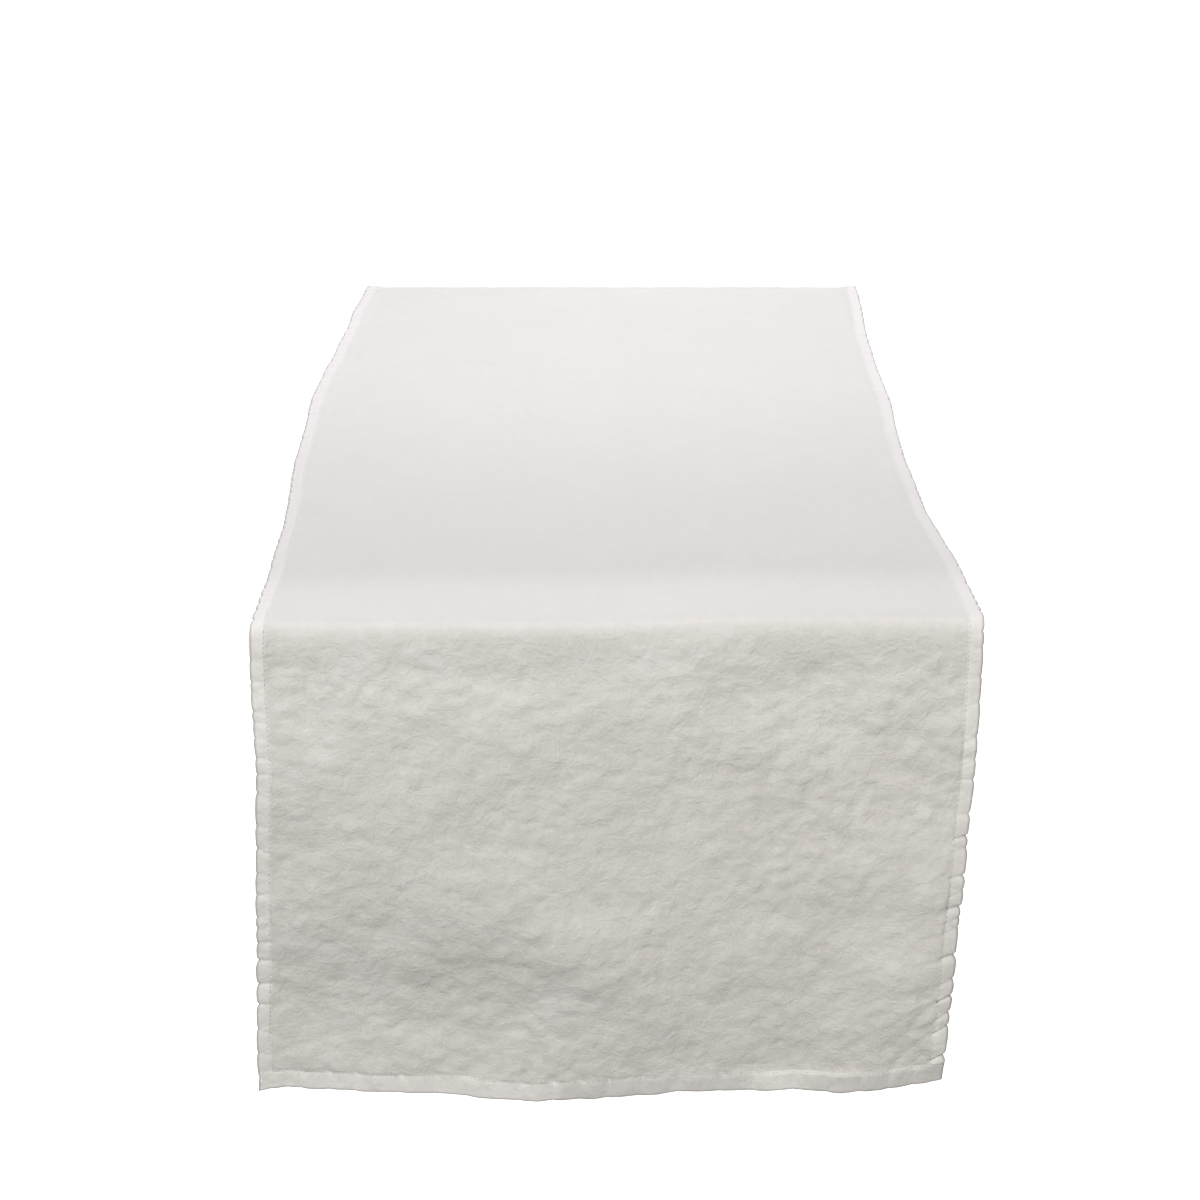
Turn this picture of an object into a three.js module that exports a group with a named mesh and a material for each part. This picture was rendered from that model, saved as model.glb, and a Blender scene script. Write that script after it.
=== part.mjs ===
// Table runner: one rectangle of washed linen with narrow double-turned hems on
// all four edges, laid across a tabletop so that both ends hang down freely.
//
// Frame: origin at the middle of the runner's underside, on the tabletop
// surface. +X runs across the runner's width, +Y along its length towards the
// rear drop, +Z up. All lengths in millimetres.
//
// The cloth is divided where it changes: a single-layer panel, three-layer
// hems, thicker mitred corners, and the two quarter-round folds over the table
// edges, where the flat span turns into the hanging drops. The drops swing
// about the table's top edges.

import * as THREE from 'three';

// ---- driving dimensions --------------------------------------------------
const RUNNER_WIDTH = 450;      // finished width
const RUNNER_LENGTH = 1500;    // finished length along the cloth
const TABLE_DEPTH = 850;       // distance between the two table edges
const FOLD_RADIUS = 4;         // inside radius of the cloth over a table edge
const PANEL_THICKNESS = 0.6;   // one layer of linen
const HEM_THICKNESS = 1.8;     // three layers at a double-turned hem
const CORNER_THICKNESS = 2.4;  // mitred corner
const SIDE_HEM_WIDTH = 10;     // hems along the two long edges
const END_HEM_WIDTH = 13;      // hems across the two ends
const STITCH_INSET = 1.6;      // stitch line to the hem's inner edge
const THREAD_WIDTH = 0.6;      // raised line of stitching
const THREAD_HEIGHT = 0.3;
const GAP = 0.3;               // clearance between neighbouring nodes

// ---- derived sizes -------------------------------------------------------
const HALF_WIDTH = RUNNER_WIDTH / 2;
const HALF_TABLE = TABLE_DEPTH / 2;
const FOLD_Y = HALF_TABLE - FOLD_RADIUS;                 // axis of each fold's arc
const FLAT_SPAN = 2 * FOLD_Y;
const NEUTRAL_ARC = (Math.PI / 2) * (FOLD_RADIUS + PANEL_THICKNESS / 2);
const DROP_STRAIGHT = (RUNNER_LENGTH - FLAT_SPAN - 2 * NEUTRAL_ARC) / 2;
const DROP_TOP = -FOLD_RADIUS - GAP / 2;                 // first z of a hanging piece
const DROP_BOTTOM = -FOLD_RADIUS - DROP_STRAIGHT;        // lowest edge of the cloth
const HEM_INNER = HALF_WIDTH - SIDE_HEM_WIDTH;           // inner edge of a side hem
const PANEL_HALF = HEM_INNER - GAP;
const END_HEM_TOP = DROP_BOTTOM + END_HEM_WIDTH;         // inner edge of an end hem
const STITCH_X = HEM_INNER + STITCH_INSET;
const STITCH_Z = END_HEM_TOP - STITCH_INSET;

// ---- materials -----------------------------------------------------------
const linen = (shade) => new THREE.MeshStandardMaterial({
  color: new THREE.Color().setRGB(0.80 * shade, 0.775 * shade, 0.75 * shade),
  roughness: 0.92,
  metalness: 0,
});
const thread = () => new THREE.MeshStandardMaterial({
  color: new THREE.Color().setRGB(0.86, 0.84, 0.81),
  roughness: 0.75,
  metalness: 0,
});

// ---- helpers -------------------------------------------------------------
const runner = new THREE.Group();

function piece(name, geometry, material) {
  const mesh = new THREE.Mesh(geometry, material);
  mesh.name = name;
  return mesh;
}

function slab(x0, x1, y0, y1, z0, z1) {
  const g = new THREE.BoxGeometry(x1 - x0, y1 - y0, z1 - z0);
  g.translate((x0 + x1) / 2, (y0 + y1) / 2, (z0 + z1) / 2);
  return g;
}

// Section of a double-turned hem. u runs from the hem's inner edge (0) to its
// outer fold (width), v is the height above the underside. The turned layers
// end in a soft step on the inner side and the outer fold is round.
function hemSection(width, thickness) {
  const r = thickness / 2;
  const s = new THREE.Shape();
  s.moveTo(0, 0);
  s.lineTo(width - r, 0);
  for (let i = 1; i < 6; i++) {
    const a = -Math.PI / 2 + (Math.PI * i) / 6;
    s.lineTo(width - r + r * Math.cos(a), r + r * Math.sin(a));
  }
  s.lineTo(width - r, thickness);
  s.lineTo(0.5, thickness);
  s.lineTo(0.12, thickness - 0.35);
  s.lineTo(0, thickness - 0.7);
  s.closePath();
  return s;
}

// A straight hem along +w for a length, its section (u, v) mapped to two axes.
function straightHem(width, thickness, length, uAxis, vAxis, wAxis, at) {
  const g = new THREE.ExtrudeGeometry(hemSection(width, thickness), {
    depth: length, bevelEnabled: false, steps: 1,
  });
  const m = new THREE.Matrix4().makeBasis(uAxis, vAxis, wAxis);
  m.setPosition(at);
  g.applyMatrix4(m);
  if (m.determinant() < 0) flip(g);
  return g;
}

// Turns every triangle over, for a geometry that was mirrored.
function flip(g) {
  if (g.index) {
    const a = g.index.array;
    for (let i = 0; i < a.length; i += 3) [a[i + 1], a[i + 2]] = [a[i + 2], a[i + 1]];
    return;
  }
  for (const name of Object.keys(g.attributes)) {
    const { array, itemSize: n } = g.attributes[name];
    for (let i = 0; i < array.length; i += 3 * n) {
      for (let k = 0; k < n; k++) {
        [array[i + n + k], array[i + 2 * n + k]] = [array[i + 2 * n + k], array[i + n + k]];
      }
    }
  }
}

// A quarter ring about the fold axis: from the flat span (angle 90 degrees)
// down to the hanging drop (angle 0), between two radii, extruded along X.
// side is -1 for the front table edge and +1 for the rear one.
const FOLD_STEPS = 10;
function foldRing(rInner, rOuter, x0, x1, side) {
  const trim = (GAP / 2) / FOLD_RADIUS;
  const a0 = trim;
  const a1 = Math.PI / 2 - trim;
  const s = new THREE.Shape();
  for (let i = 0; i <= FOLD_STEPS; i++) {
    const a = a0 + ((a1 - a0) * i) / FOLD_STEPS;
    const y = side * rOuter * Math.cos(a);
    const z = rOuter * Math.sin(a);
    if (i === 0) s.moveTo(y, z); else s.lineTo(y, z);
  }
  for (let i = FOLD_STEPS; i >= 0; i--) {
    const a = a0 + ((a1 - a0) * i) / FOLD_STEPS;
    s.lineTo(side * rInner * Math.cos(a), rInner * Math.sin(a));
  }
  s.closePath();
  const g = new THREE.ExtrudeGeometry(s, { depth: x1 - x0, bevelEnabled: false, steps: 1 });
  // section (y, z) extruded along x
  const m = new THREE.Matrix4().makeBasis(
    new THREE.Vector3(0, 1, 0), new THREE.Vector3(0, 0, 1), new THREE.Vector3(1, 0, 0));
  m.setPosition(x0, side * FOLD_Y, -FOLD_RADIUS);
  g.applyMatrix4(m);
  return g;
}

const X = new THREE.Vector3(1, 0, 0);
const Y = new THREE.Vector3(0, 1, 0);
const Z = new THREE.Vector3(0, 0, 1);
const neg = (v) => v.clone().negate();

// ---- centre span: lies flat on the tabletop --------------------------------
const spanHalf = FOLD_Y - GAP / 2;
const centre = new THREE.Group();
centre.add(piece('centre_panel',
  slab(-PANEL_HALF, PANEL_HALF, -spanHalf, spanHalf, 0, PANEL_THICKNESS), linen(1.0)));
centre.add(piece('centre_hem_right',
  straightHem(SIDE_HEM_WIDTH, HEM_THICKNESS, 2 * spanHalf, X, Z, Y,
    new THREE.Vector3(HEM_INNER, -spanHalf, 0)), linen(1.04)));
centre.add(piece('centre_hem_left',
  straightHem(SIDE_HEM_WIDTH, HEM_THICKNESS, 2 * spanHalf, neg(X), Z, Y,
    new THREE.Vector3(-HEM_INNER, -spanHalf, 0)), linen(1.04)));
for (const [tag, s] of [['left', -1], ['right', 1]]) {
  centre.add(piece(`centre_thread_${tag}`,
    slab(s * STITCH_X - THREAD_WIDTH / 2, s * STITCH_X + THREAD_WIDTH / 2,
      -spanHalf, spanHalf, HEM_THICKNESS + 0.05, HEM_THICKNESS + 0.05 + THREAD_HEIGHT), thread()));
}
runner.add(centre);

// ---- folds over the table edges and the hanging drops ----------------------
for (const [end, side] of [['front', -1], ['rear', 1]]) {
  const fold = new THREE.Group();
  const rIn = FOLD_RADIUS;
  fold.add(piece(`${end}_fold_panel`,
    foldRing(rIn, rIn + PANEL_THICKNESS, -PANEL_HALF, PANEL_HALF, side), linen(1.0)));
  for (const [tag, s] of [['left', -1], ['right', 1]]) {
    const x0 = s > 0 ? HEM_INNER : -HALF_WIDTH;
    const x1 = s > 0 ? HALF_WIDTH : -HEM_INNER;
    fold.add(piece(`${end}_fold_hem_${tag}`,
      foldRing(rIn, rIn + HEM_THICKNESS, x0, x1, side), linen(1.04)));
    fold.add(piece(`${end}_fold_thread_${tag}`,
      foldRing(rIn + HEM_THICKNESS + 0.05, rIn + HEM_THICKNESS + 0.05 + THREAD_HEIGHT,
        s * STITCH_X - THREAD_WIDTH / 2, s * STITCH_X + THREAD_WIDTH / 2, side), thread()));
  }
  runner.add(fold);

  // the drop hangs with its inner face on the plane of the table edge
  const drop = new THREE.Group();
  const face = side * HALF_TABLE;
  const out = side < 0 ? neg(Y) : Y.clone();
  const sheet = (x0, x1, z0, z1, t0, t1) => slab(x0, x1,
    Math.min(face + side * t0, face + side * t1), Math.max(face + side * t0, face + side * t1), z0, z1);
  drop.add(piece(`${end}_drop_panel`,
    sheet(-PANEL_HALF, PANEL_HALF, END_HEM_TOP + GAP, DROP_TOP, 0, PANEL_THICKNESS), linen(1.0)));

  const sideHemBottom = END_HEM_TOP + GAP;
  for (const [tag, s] of [['left', -1], ['right', 1]]) {
    const u = s > 0 ? X.clone() : neg(X);
    drop.add(piece(`${end}_drop_hem_${tag}`,
      straightHem(SIDE_HEM_WIDTH, HEM_THICKNESS, DROP_TOP - sideHemBottom, u, out, Z,
        new THREE.Vector3(s * HEM_INNER, face, sideHemBottom)), linen(1.04)));
    // mitred corner where the side hem and the end hem meet
    drop.add(piece(`${end}_corner_${tag}`,
      straightHem(SIDE_HEM_WIDTH, CORNER_THICKNESS, END_HEM_WIDTH, u, out, Z,
        new THREE.Vector3(s * HEM_INNER, face, DROP_BOTTOM)), linen(1.05)));
    drop.add(piece(`${end}_drop_thread_${tag}`,
      sheet(s * STITCH_X - THREAD_WIDTH / 2, s * STITCH_X + THREAD_WIDTH / 2,
        sideHemBottom, DROP_TOP, HEM_THICKNESS + 0.05, HEM_THICKNESS + 0.05 + THREAD_HEIGHT), thread()));
  }
  // hem across the end, its outer fold pointing down
  drop.add(piece(`${end}_end_hem`,
    straightHem(END_HEM_WIDTH, HEM_THICKNESS, 2 * (HEM_INNER - GAP), neg(Z), out, X,
      new THREE.Vector3(-(HEM_INNER - GAP), face, END_HEM_TOP)), linen(1.05)));
  drop.add(piece(`${end}_end_thread`,
    sheet(-(HEM_INNER - GAP), HEM_INNER - GAP, STITCH_Z - THREAD_WIDTH / 2,
      STITCH_Z + THREAD_WIDTH / 2, HEM_THICKNESS + 0.05, HEM_THICKNESS + 0.05 + THREAD_HEIGHT), thread()));
  runner.add(drop);
}

export default runner;
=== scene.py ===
import math

import bpy
import numpy as np
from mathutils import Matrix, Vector


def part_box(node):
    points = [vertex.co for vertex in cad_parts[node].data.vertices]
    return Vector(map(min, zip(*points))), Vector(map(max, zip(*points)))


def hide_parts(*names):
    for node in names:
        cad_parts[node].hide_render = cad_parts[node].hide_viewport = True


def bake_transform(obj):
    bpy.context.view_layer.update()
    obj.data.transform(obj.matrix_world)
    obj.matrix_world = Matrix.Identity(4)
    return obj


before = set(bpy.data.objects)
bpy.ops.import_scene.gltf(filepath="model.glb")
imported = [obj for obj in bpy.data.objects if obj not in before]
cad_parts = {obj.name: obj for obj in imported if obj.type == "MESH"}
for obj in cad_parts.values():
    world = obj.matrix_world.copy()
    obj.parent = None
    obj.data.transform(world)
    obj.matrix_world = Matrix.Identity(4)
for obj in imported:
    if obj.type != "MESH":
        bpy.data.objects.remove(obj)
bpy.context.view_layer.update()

# A washed-linen table runner laid over a tabletop, both ends hanging down.
# The cloth is described once, by functions of u (across, mm) and t (distance
# along the cloth from mid-table, mm), and every piece is a window on it.

MM = 0.001
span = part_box("centre_panel")
drop_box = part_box("front_end_hem")
corner_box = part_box("front_corner_right")
HALF_W = corner_box[1][0] / MM                 # 225: half of the finished width
TABLE = -drop_box[1][1] / MM                   # 425: from mid-table to a table edge
DROP_Z = -drop_box[0][2] / MM                  # 326: depth of a hanging end
HEM = HALF_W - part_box("centre_hem_right")[0][0] / MM      # 10: side hem
END_HEM = (drop_box[1][2] - drop_box[0][2]) / MM          # 13: end hem
LENGTH = 750.0                                 # half the cloth, along itself
SHEET = 0.6                                    # one layer of linen
ROLL = 1.9                                     # three washed layers at a hem


# ------------------------------------------------------------------ camera --
def make_camera():
    cam = bpy.data.cameras.new("camera")
    cam.sensor_width = 36.0
    cam.lens = 2557.0 / 1200.0 * 36.0
    cam.clip_start, cam.clip_end = 0.05, 200.0
    o = bpy.data.objects.new("camera", cam)
    bpy.context.scene.collection.objects.link(o)
    o.location = (-0.0054, -1.8822, 0.5781)
    o.rotation_euler = (math.radians(90.0 - 21.0), 0.0, 0.0)
    bpy.context.scene.camera = o
    return o


make_camera()


# ------------------------------------------------------------------- noise --
GRID_U = np.arange(-256.0, 256.0)              # 1 mm lattice for every field
GRID_T = np.arange(-16.0, 784.0)
FREQ_U = np.fft.fftfreq(len(GRID_U))[:, None] * 2 * np.pi
FREQ_T = np.fft.rfftfreq(len(GRID_T))[None, :] * 2 * np.pi


def field(seed, size_u, size_t, turn=0.0, band=0.0):
    """A smooth random field, its features size_u by size_t mm, turned by turn degrees. band above 0 takes the slow part away."""
    rng = np.random.default_rng(seed)
    white = np.fft.rfft2(rng.standard_normal((len(GRID_U), len(GRID_T))))
    c, s = math.cos(math.radians(turn)), math.sin(math.radians(turn))
    ku = (FREQ_U * c + FREQ_T * s) * size_u
    kt = (-FREQ_U * s + FREQ_T * c) * size_t
    k2 = ku * ku + kt * kt
    shape = np.exp(-k2 / 2)
    if band > 0:
        shape = shape * (1 - np.exp(-k2 * band))
    f = np.fft.irfft2(white * shape, s=(len(GRID_U), len(GRID_T)))
    return (f - f.mean()) / f.std()


def steep(f, slope):
    """Scales a field so that its root-mean-square slope is slope."""
    gu, gt = np.gradient(f)
    return f * (slope / math.sqrt((gu * gu + gt * gt).mean()))


def crease(f, soft):
    """Turns a smooth field into soft facets that meet in creases."""
    g = np.sqrt(f * f + soft * soft)
    return g - g.mean()


def look(f, u, t):
    """Samples a lattice field at u, t, in mm (cubic in both directions)."""
    x = np.clip(u - GRID_U[0], 1.0, len(GRID_U) - 3.001)
    y = np.clip(t - GRID_T[0], 1.0, len(GRID_T) - 3.001)
    i, j = x.astype(int), y.astype(int)
    a, b = x - i, y - j

    def weights(s):
        return (
            ((-0.5 * s + 1.0) * s - 0.5) * s,
            (1.5 * s - 2.5) * s * s + 1.0,
            ((-1.5 * s + 2.0) * s + 0.5) * s,
            (0.5 * s - 0.5) * s * s,
        )

    wa, wb = weights(a), weights(b)
    out = 0.0
    for m in range(4):
        row = 0.0
        for n in range(4):
            row = row + wb[n] * f[i + m - 1, j + n - 1]
        out = out + wa[m] * row
    return out


def smooth(x, lo, hi):
    x = np.clip((x - lo) / (hi - lo), 0.0, 1.0)
    return x * x * (3 - 2 * x)


# --------------------------------------------------------------- the cloth --
class Half:
    """One half of the runner, from mid-table over one table edge to its end. side is -1 for the front half and +1 for the rear."""

    def __init__(self, side):
        self.side = side
        front = side < 0
        seed = 100 if front else 500
        # outline of the two long edges: t, then x of the left and right edge
        if front:
            edge = [
                (0, -231.3, 221.4), (45, -229.6, 219.8), (112, -229.3, 219.3),
                (176, -224.6, 219.8), (235, -221.0, 220.9), (291, -220.2, 224.2),
                (344, -217.8, 226.0), (394, -218.9, 229.2), (417, -220.3, 230.8),
                (433, -220.9, 230.4), (465, -221.4, 231.0), (522, -220.6, 229.9),
                (581, -224.6, 227.5), (641, -228.3, 223.8), (703, -230.7, 222.3),
                (734, -233.2, 221.8), (750, -234.2, 221.4),
            ]
        else:
            edge = [
                (0, -231.3, 221.4), (28, -232.4, 223.2), (66, -232.8, 223.6),
                (106, -232.4, 223.2), (147, -231.2, 222.9), (189, -228.0, 223.5),
                (233, -226.6, 223.6), (279, -225.0, 225.0), (327, -223.4, 226.8),
                (377, -220.2, 228.4), (425, -219.6, 230.0), (480, -221.0, 230.2),
                (560, -222.5, 228.4), (640, -223.6, 226.6), (700, -222.6, 226.0),
                (750, -221.8, 226.4),
            ]
        e = np.array(edge, float)
        t = np.arange(0.0, 760.0, 2.0)
        kernel = np.exp(-0.5 * (np.arange(-15, 16) / 6.0) ** 2)
        kernel /= kernel.sum()
        self.edge_t = t
        # smoothed, after reflecting the rows past both ends
        self.edge = []
        for k in (1, 2):
            v = np.interp(t, e[:, 0], e[:, k])
            v = np.concatenate([2 * v[0] - v[15:0:-1], v, 2 * v[-1] - v[-2:-17:-1]])
            self.edge.append(np.convolve(v, kernel, "valid"))
        self.build_profile(seed)
        self.build_relief(seed, front)
        self.build_puckers(seed, front)

    # -- the curve over the table edge, for each column of the cloth
    def build_profile(self, seed):
        self.pu = np.linspace(-HALF_W - 8, HALF_W + 8, 61)
        self.pt = np.arange(0.0, 775.0, 0.5)
        rng = np.random.default_rng(seed + 7)
        bumps = rng.uniform(-1, 1, 4)
        x = self.pu / HALF_W
        # the fold is crisp at the two hems, and on one side it stands off the table edge
        soft = 5.1 + 0.6 * smooth(x, -0.3, 0.7)
        soft = soft + 0.45 * sum(
            b * np.sin((k + 1.6) * x * 2.3 + 1.7 * k) for k, b in enumerate(bumps)
        )
        soft = np.clip(soft - 1.2 * smooth(np.abs(x), 0.86, 1.0), 3.4, 8.0)
        stand = 1.2 + 3.3 * smooth(x, -0.2, 0.5) if self.side < 0 else 1.8
        rise = np.maximum(0.293 * 1.75 * soft - 1.17, 0.35) + stand
        rise = rise - 0.3 * smooth(np.abs(x), 0.80, 1.0)
        # before the edge the cloth comes a little off the table and rolls down to the fold
        roll = 0.050
        self.pa, self.py, self.pz = [], [], []
        for w, h in zip(soft, rise):
            tc = TABLE - 1.0
            for _ in range(3):
                up = (h + roll * 18.0 * math.sqrt(math.pi)) / (62.0 * math.sqrt(math.pi))
                a = (math.pi / 2) * 0.5 * (1 + np.tanh((self.pt - tc) / w))
                a = a + roll * np.exp(-(((self.pt - (tc - 25)) / 18.0) ** 2))
                a = a - up * np.exp(-(((self.pt - (tc - 158)) / 62.0) ** 2))
                y = np.concatenate([[0], np.cumsum(np.cos((a[1:] + a[:-1]) / 2) * 0.5)])
                z = -np.concatenate([[0], np.cumsum(np.sin((a[1:] + a[:-1]) / 2) * 0.5)])
                tc += TABLE + 0.25 - y[-1]
            self.pa.append(a), self.py.append(y), self.pz.append(z)
        self.pa, self.py, self.pz = map(np.array, (self.pa, self.py, self.pz))

    def profile(self, u, t):
        """Slope angle, distance from mid-table and height of the cloth's underside."""
        x = np.clip((u - self.pu[0]) / (self.pu[1] - self.pu[0]), 0, len(self.pu) - 1.001)
        y = np.clip(t / 0.5, 0, len(self.pt) - 1.001)
        i, j = x.astype(int), y.astype(int)
        a, b = x - i, y - j
        a = a * a * (3 - 2 * a)
        out = []
        for g in (self.pa, self.py, self.pz):
            out.append(
                (g[i, j] * (1 - a) + g[i + 1, j] * a) * (1 - b)
                + (g[i, j + 1] * (1 - a) + g[i + 1, j + 1] * a) * b
            )
        return out

    # -- crumple and soft folds
    def build_relief(self, seed, front):
        U, T = np.meshgrid(GRID_U, GRID_T, indexing="ij")
        below = T - TABLE                          # distance down the drop
        hang = smooth(below, 0.0, 26.0)
        free = smooth(below, 6.0, 60.0)           # clear of the table's own edge

        # washed-linen crumple, scaled by slope
        slow = steep(field(seed + 1, 30, 30), 0.046)
        soft = steep(field(seed + 12, 18, 14), 0.060)
        mid = steep(crease(field(seed + 2, 12, 11, band=0.6), 0.5), 0.062)
        flat = steep(crease(field(seed + 3, 8.5, 6.5, band=0.7), 0.4), 0.060)
        slant = steep(crease(field(seed + 4, 9.0, 4.8, turn=-34, band=0.7), 0.35), 0.056)
        small = steep(crease(field(seed + 13, 4.8, 4.6, band=0.8), 0.45), 0.080)
        fine = steep(field(seed + 5, 2.8, 2.6, band=0.8), 0.066)
        where = smooth(field(seed + 6, 34, 30), -1.2, 1.4)
        tilt = smooth(U + 0.3 * below, -60.0, 130.0)
        rough = mid * (0.65 + 0.7 * where)
        rough = rough + flat * (1 - 0.55 * tilt) + slant * tilt * (0.6 + 0.6 * where)
        rough = rough + (fine + small) * (0.7 + 0.6 * where)
        pressed = 0.05 + 0.06 * smooth(T, 250.0, 400.0)
        share = pressed + (1 - pressed) * hang
        self.relief = rough * share + (slow + soft) * (0.10 + 0.90 * hang)

        # soft folds of the drop: slope patches (u, depth, half sizes, turn, slope)
        if front:
            patches = [
                (-117, 226, 84, 27, 2, -0.240), (-140, 190, 36, 18, 0, -0.170),
                (-110, 286, 34, 15, -10, 0.210), (-14, 196, 24, 16, 0, 0.200),
                (0, 248, 42, 17, 0, -0.130), (148, 188, 17, 17, 30, -0.180),
                (118, 226, 18, 26, 14, -0.080), (116, 288, 18, 22, 0, -0.260),
                (196, 222, 30, 26, 0, 0.300), (200, 146, 26, 28, 0, 0.230),
                (162, 262, 28, 18, 0, 0.250), (206, 290, 16, 18, 0, -0.090),
                (30, 270, 46, 16, 0, -0.060), (-30, 92, 44, 12, 0, -0.100),
                (150, 67, 46, 14, 0, -0.130), (62, 68, 34, 14, 0, -0.070), (-205, 160, 34, 60, 0, -0.090),
                (96, 130, 28, 24, 0, 0.080), (-56, 26, 70, 17, 0, 0.260),
                (-170, 92, 36, 16, 0, -0.060), (-20, 192, 26, 16, 0, 0.090), (170, 222, 18, 20, 0, 0.080),
                (-206, 250, 18, 22, 0, 0.160), (70, 198, 70, 16, 0, 0.070), (208, 248, 15, 26, 0, -0.190),
                (-8, 240, 30, 16, 0, -0.090), (-145, 124, 42, 22, 0, -0.090),
                (-12, 217, 40, 12, 0, -0.070), (130, 217, 24, 14, 0, -0.090), (150, 20, 90, 14, 0, -0.110),
            ]
        else:
            rng = np.random.default_rng(seed + 20)
            patches = [
                (
                    rng.uniform(-190, 190), rng.uniform(50, 300), rng.uniform(18, 70),
                    rng.uniform(14, 28), rng.uniform(-28, 28), rng.choice([-1, 1]) * rng.uniform(0.040, 0.115),
                )
                for _ in range(20)
            ]
        # wanted slope down the drop, and the smoothest surface that comes near it:
        # pinned at the table edge, free at the other sides
        lean = 0.020 * np.exp(-((below / 70.0) ** 2)) - 0.030 * smooth(below, 50.0, 130.0) - 0.045 * smooth(below, 170.0, 270.0)
        for cu, cd, ru, rt, turn, k in patches:
            c, s = math.cos(math.radians(turn)), math.sin(math.radians(turn))
            x, y = U - cu, below - cd
            a, b = (x * c - y * s) / ru, (x * s + y * c) / rt
            lean += k * np.exp(-(a * a + b * b))
        lean = (1.45 * lean + 0.024) * free
        first, last = int(TABLE - GRID_T[0]), int(LENGTH - GRID_T[0])
        part = lean[:, first:last]
        n_u, n_t = part.shape
        long = float(n_t)
        ks = np.arange(40) * math.pi / n_u
        ms = (np.arange(40) + 0.5) * math.pi / long
        across = np.cos(np.outer(np.arange(n_u) + 0.5, ks))
        down = np.cos(np.outer(np.arange(n_t) + 0.5, ms))
        amount = across.T @ part @ down * (4.0 / (n_u * long))
        amount[0] *= 0.5
        amount = amount * ms / (ms ** 2 + 0.8 * ks[:, None] ** 2)
        sway = np.zeros_like(lean)
        depth = np.clip(T[0] - TABLE, 0.0, long)
        sway = across @ amount @ np.sin(np.outer(ms, depth))
        wave = (
            3.2 * np.exp(-(((GRID_U + 30) / 62.0) ** 2))
            - 2.6 * np.exp(-(((GRID_U - 205) / 42.0) ** 2))
            - 1.4 * np.exp(-(((GRID_U + 205) / 40.0) ** 2))
            if front
            else 2.6 * np.sin(GRID_U / 61.0 + 0.8) + 1.2 * np.sin(GRID_U / 29.0)
        )
        self.sway = sway + 0.5 * wave[:, None] * smooth(below, 90.0, 325.0)
        # how much lower or higher the end hangs along the width
        self.hang_u = np.array([-225, -205, -180, -120, -75, -20, 10, 50, 90, 130, 160, 190, 215, 225.0])
        self.hang_d = (
            np.array([7.5, 4.2, 7.4, 7.6, 11.0, 13.8, 11.3, 8.2, 6.6, 5.9, 6.3, 2.0, -1.0, -3.4])
            if front
            else np.array([-1.6, -1.0, 0.4, 1.6, 1.0, -0.6, -1.4, -0.8, 0.8, 1.8, 1.2, 0.0, -1.2, -2.0])
        )
        self.curl_u = np.array([-225, -60, -38, -18, 88, 102, 110, 126, 140, 158, 185, 225.0])
        self.curl_k = (
            np.array([-0.02, -0.02, -0.04, -0.20, -0.21, -0.10, -0.05, -0.07, -0.20, -0.22, -0.31, -0.31])
            if front
            else np.array([-0.10, -0.02, -0.04, -0.06, -0.12, -0.10, -0.05, -0.02, -0.04, -0.10, -0.12, -0.06])
        )
        self.drift = steep(field(seed + 9, 16, 16), 0.020) * 1.0   # in-plane waver of edges

    # -- seam puckers along a hem
    def build_puckers(self, seed, front):
        rng = np.random.default_rng(seed + 30)

        def seam(start, stop, marks, side, deep, longest=26.0):
            """Pinches as rows of (place, depth, slant, width). marks are pinches given one by one as (place, strength).
            """
            rows, q = [], start
            placed = sorted(marks)
            while q < stop:
                nxt = next((m for m in placed if m[0] > q + 1.0), None)
                q2 = q + rng.uniform(9.0, longest) * (0.75 if rng.random() < 0.35 else 1.0)
                if nxt and placed and placed[0][0] - 12 < q2 < placed[-1][0] + 8:
                    q2, k = nxt
                else:
                    k = rng.uniform(0.35, 1.0)
                rows.append((q2, k * deep, side * rng.uniform(0.0, 0.55), rng.uniform(0.75, 1.35), rng.uniform(-0.5, 0.5)))
                q = q2
            return np.array(rows)

        if front:
            left = [
                (444, .25), (459, .3), (465, .25), (478, .35), (486, .3), (496, .35), (509, .45),
                (520, .35), (533, .35), (556, .4), (572, .6), (590, .35), (605, .35), (621, .55),
                (629, .4), (640, .45), (653, .85), (671, .9), (686, .8), (704, .6), (722, .5), (733, .5),
            ]
            right = [
                (459, .25), (477, .35), (500, .4), (516, .35), (530, .45), (554, .65), (569, 1.25),
                (577, .5), (596, 1.1), (606, .5), (618.5, 1.25), (626, .5), (633, .5), (652.5, 1.6),
                (670, .9), (683, 1.3), (696, 1.1), (707, 1.0), (731, 1.5), (741, .5),
            ]
        else:
            left, right = [], []
        self.seams = {
            -1: seam(4.0, 752.0, left, 1.0, 1.25),
            1: seam(6.0, 752.0, right, 1.0, 1.2),
            0: seam(-226.0, 228.0, [(-196, .5), (-178, .9), (-160, .5), (-131, 1.1), (-108, .5), (-86, .4), (-52, .5),
                                    (-30, 1.1), (-12, .8), (6, 1.0), (28, .6), (52, .5), (80, .7), (101, .4), (128, .7),
                                    (150, .5), (171, .6), (190, .8), (206, .6)] if front else [], 1.0, 1.75),
        }

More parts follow.
